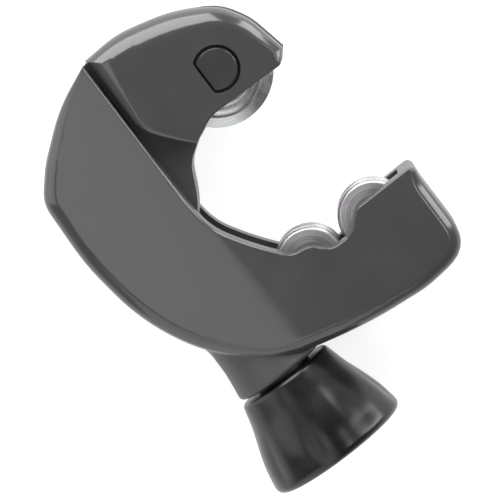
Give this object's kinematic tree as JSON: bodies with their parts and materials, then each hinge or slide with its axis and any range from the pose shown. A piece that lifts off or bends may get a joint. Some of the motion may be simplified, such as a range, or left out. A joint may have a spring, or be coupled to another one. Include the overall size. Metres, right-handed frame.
{
  "type": "mini tube cutter",
  "caption": "Pocket tube cutter: a forked jaw with a cutting wheel slides in a C shaped housing, drawn by a knob and screw towards paired rollers.",
  "frame": {"origin": "axis of the largest tube, seated on both rollers, at half the housing's thickness", "axes": "+Y from the rollers to the wheel, which is the way the jaw opens; +X out of the mouth; +Z along the tube, out of the side that shows the axle's D shaped head, so the cutter lies on its other side"},
  "size_m": [0.0574, 0.0843, 0.0274],
  "materials": {
    "housing_paint": "semi gloss grey enamel on a zinc casting",
    "jaw_paint": "semi gloss dark grey enamel on a zinc casting",
    "wheel_steel": "turned and hardened",
    "roller_steel": "turned",
    "axle_paint": "dark coated steel",
    "pin_steel": "ground",
    "spring_steel": "blued",
    "elastic_rubber": "matt",
    "washer_plastic": "slippery moulded plastic",
    "knob_plastic": "glossy black moulding"
  },
  "bodies": {
    "frame_body": {"housing": "housing_paint", "inner_roller_pin": "pin_steel", "outer_roller_pin": "pin_steel", "floor_washer": "pin_steel"},
    "jaw_body": {"jaw": "jaw_paint"},
    "wheel_body": {"cutting_wheel": "wheel_steel"},
    "axle_body": {"wheel_axle": "axle_paint", "axle_ring": "elastic_rubber"},
    "inner_roller_body": {"inner_roller": "roller_steel"},
    "outer_roller_body": {"outer_roller": "roller_steel"},
    "screw_body": {"feed_screw": "pin_steel", "thrust_washer": "washer_plastic", "retaining_ring": "spring_steel", "knob": "knob_plastic", "knob_washer": "pin_steel", "knob_screw": "pin_steel", "knob_cap": "knob_plastic"}
  },
  "joints": [
    {"name": "screw_turn", "type": "hinge", "parent": "frame_body", "child": "screw_body", "pos_m": [-0.0237, 0, 0], "axis": [0, 1, 0], "range_deg": [0, 7918]},
    {"name": "jaw_slide", "type": "slide", "parent": "frame_body", "child": "jaw_body", "axis": [0, 1, 0], "range_m": [-0.022, 0]},
    {"name": "wheel_spin", "type": "hinge", "parent": "jaw_body", "child": "wheel_body", "pos_m": [0, 0.02165, 0], "axis": [0, 0, 1], "continuous": true},
    {"name": "axle_pull", "type": "slide", "parent": "jaw_body", "child": "axle_body", "axis": [0, 0, 1], "range_m": [0, 0.02]},
    {"name": "inner_roller_spin", "type": "hinge", "parent": "frame_body", "child": "inner_roller_body", "pos_m": [-0.007, -0.01604, 0], "axis": [0, 0, 1], "continuous": true},
    {"name": "outer_roller_spin", "type": "hinge", "parent": "frame_body", "child": "outer_roller_body", "pos_m": [0.007, -0.01604, 0], "axis": [0, 0, 1], "continuous": true}
  ],
  "couplings": [
    {"joint": "jaw_slide", "follows": "screw_turn", "m_per_rad": -0.00015915}
  ]
}
